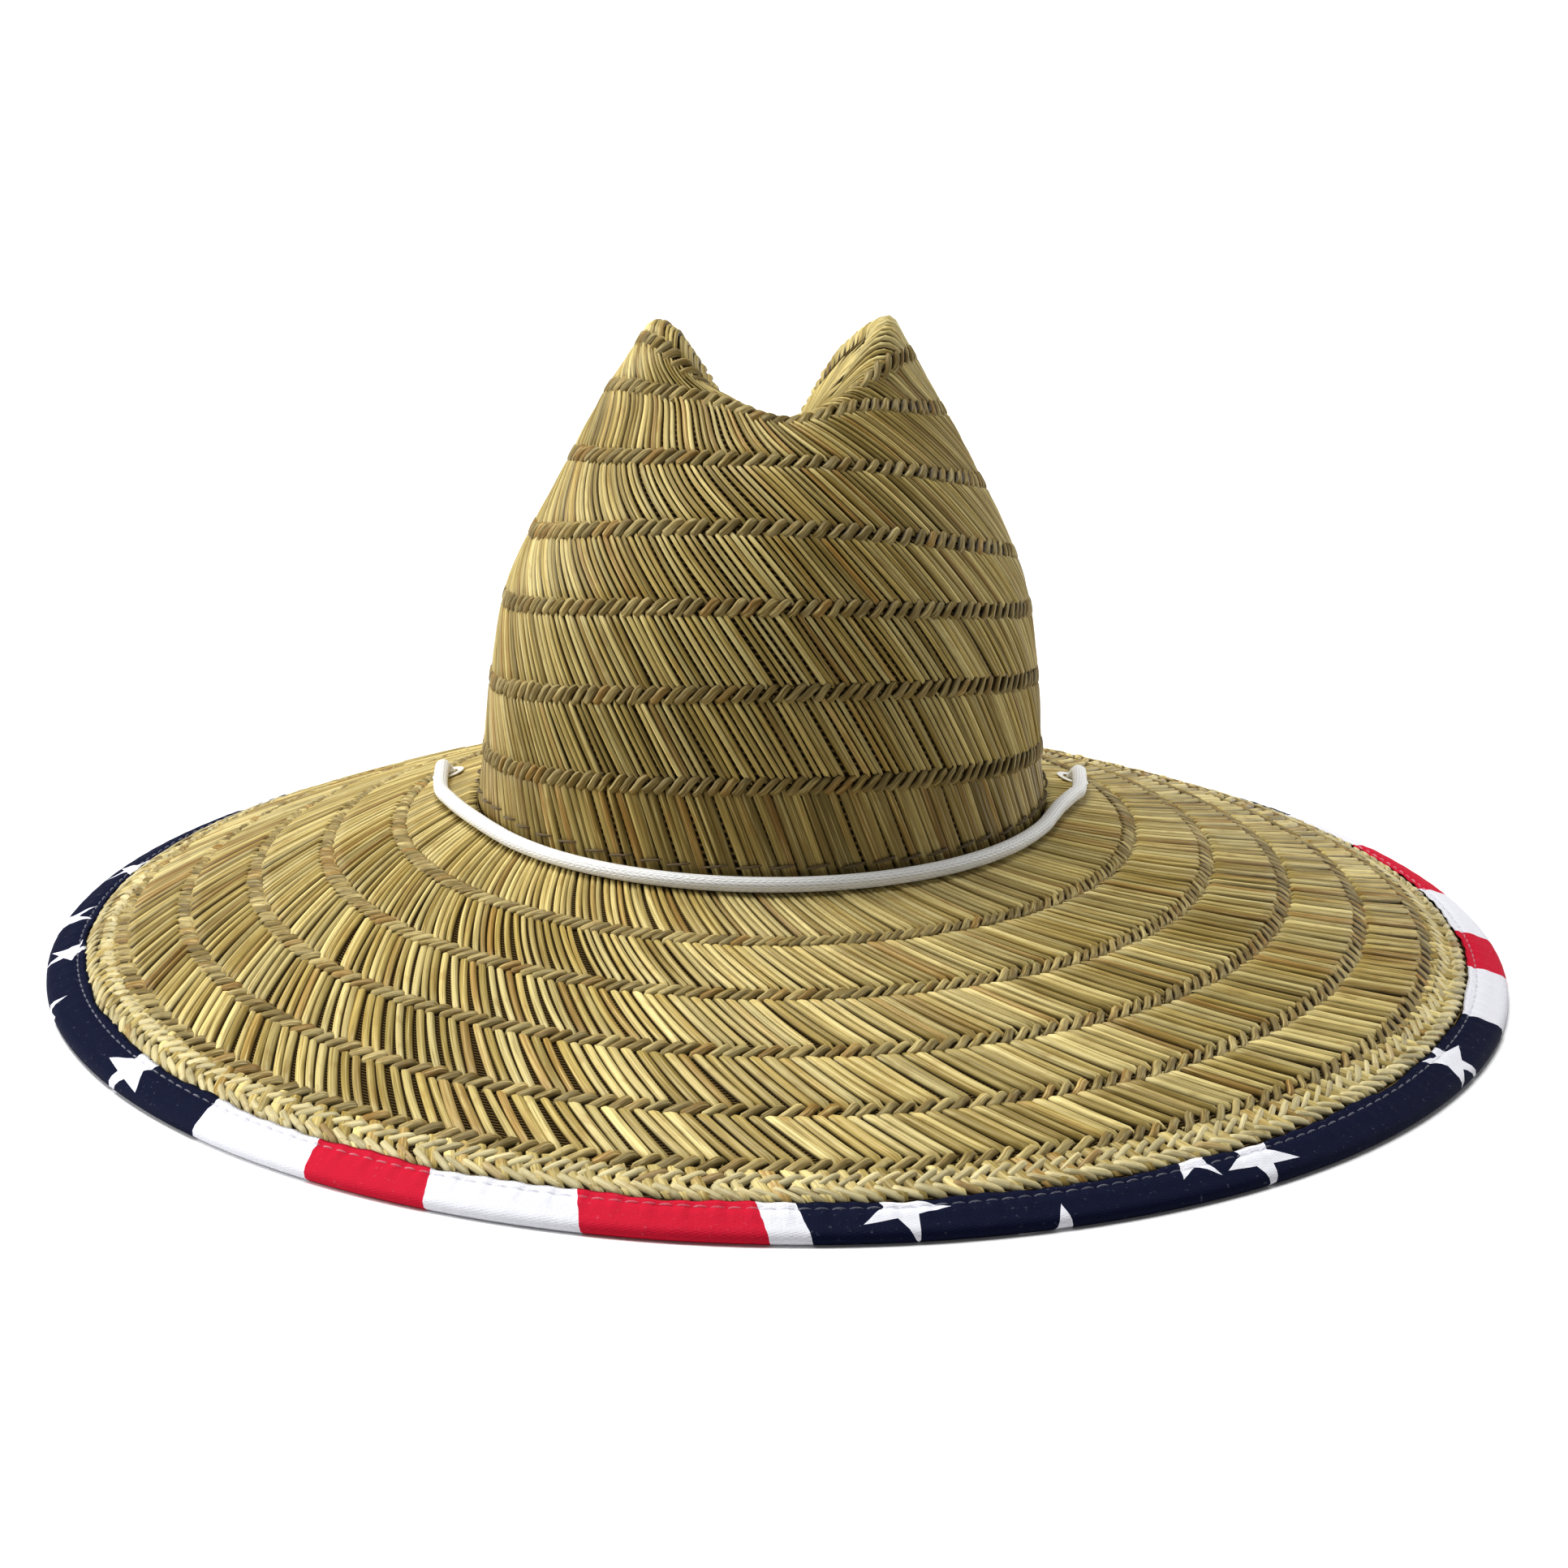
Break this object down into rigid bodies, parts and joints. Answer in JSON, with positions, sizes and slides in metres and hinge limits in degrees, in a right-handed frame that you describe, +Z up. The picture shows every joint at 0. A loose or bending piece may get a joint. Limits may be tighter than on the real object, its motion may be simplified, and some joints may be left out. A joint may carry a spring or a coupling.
{
  "type": "wide-brim straw hat",
  "caption": "Woven straw sun hat with a pinched crown, a wide down-sloping brim, a printed cloth edge and a chin cord with a slider.",
  "frame": {"origin": "on the surface that the brim edge rests on, under the middle of the brim", "axes": "+Z up through the crown, -Y towards the front of the hat, +X to the wearer's left"},
  "size_m": [0.447, 0.4952, 0.2015],
  "materials": {
    "straw": "dry woven rush straw",
    "twined_straw": "dry twisted straw",
    "pale_straw": "dry bleached straw plait",
    "printed_cloth": "printed woven cloth in blocks of navy, white and red",
    "band_cloth": "matte twill cotton",
    "thread": "matte sewing thread",
    "eyelet_plastic": "white moulded",
    "cord_nylon": "round braided nylon, slight sheen",
    "slider_bead": "satin varnish"
  },
  "bodies": {
    "hat": {"woven_crown": "straw", "woven_brim": "straw", "crown_twine_row_1": "twined_straw", "crown_twine_row_2": "twined_straw", "crown_twine_row_3": "twined_straw", "crown_twine_row_4": "twined_straw", "crown_twine_row_5": "twined_straw", "crown_twine_row_6": "twined_straw", "crown_twine_row_7": "twined_straw", "brim_twine_row_1": "twined_straw", "brim_twine_row_2": "twined_straw", "brim_twine_row_3": "twined_straw", "brim_twine_row_4": "twined_straw", "brim_twine_row_5": "twined_straw", "edge_braid": "pale_straw", "edge_binding": "printed_cloth", "binding_stitching": "thread", "sweatband": "band_cloth", "sweatband_stitching": "thread", "eyelet_left": "eyelet_plastic", "eyelet_right": "eyelet_plastic", "chin_cord": "cord_nylon", "end_knot": "cord_nylon"},
    "slider": {"cord_slider": "slider_bead"}
  },
  "joints": [
    {"name": "slider_slide", "type": "slide", "parent": "hat", "child": "slider", "axis": [0, 1, 0], "range_m": [0, 0.085]}
  ]
}
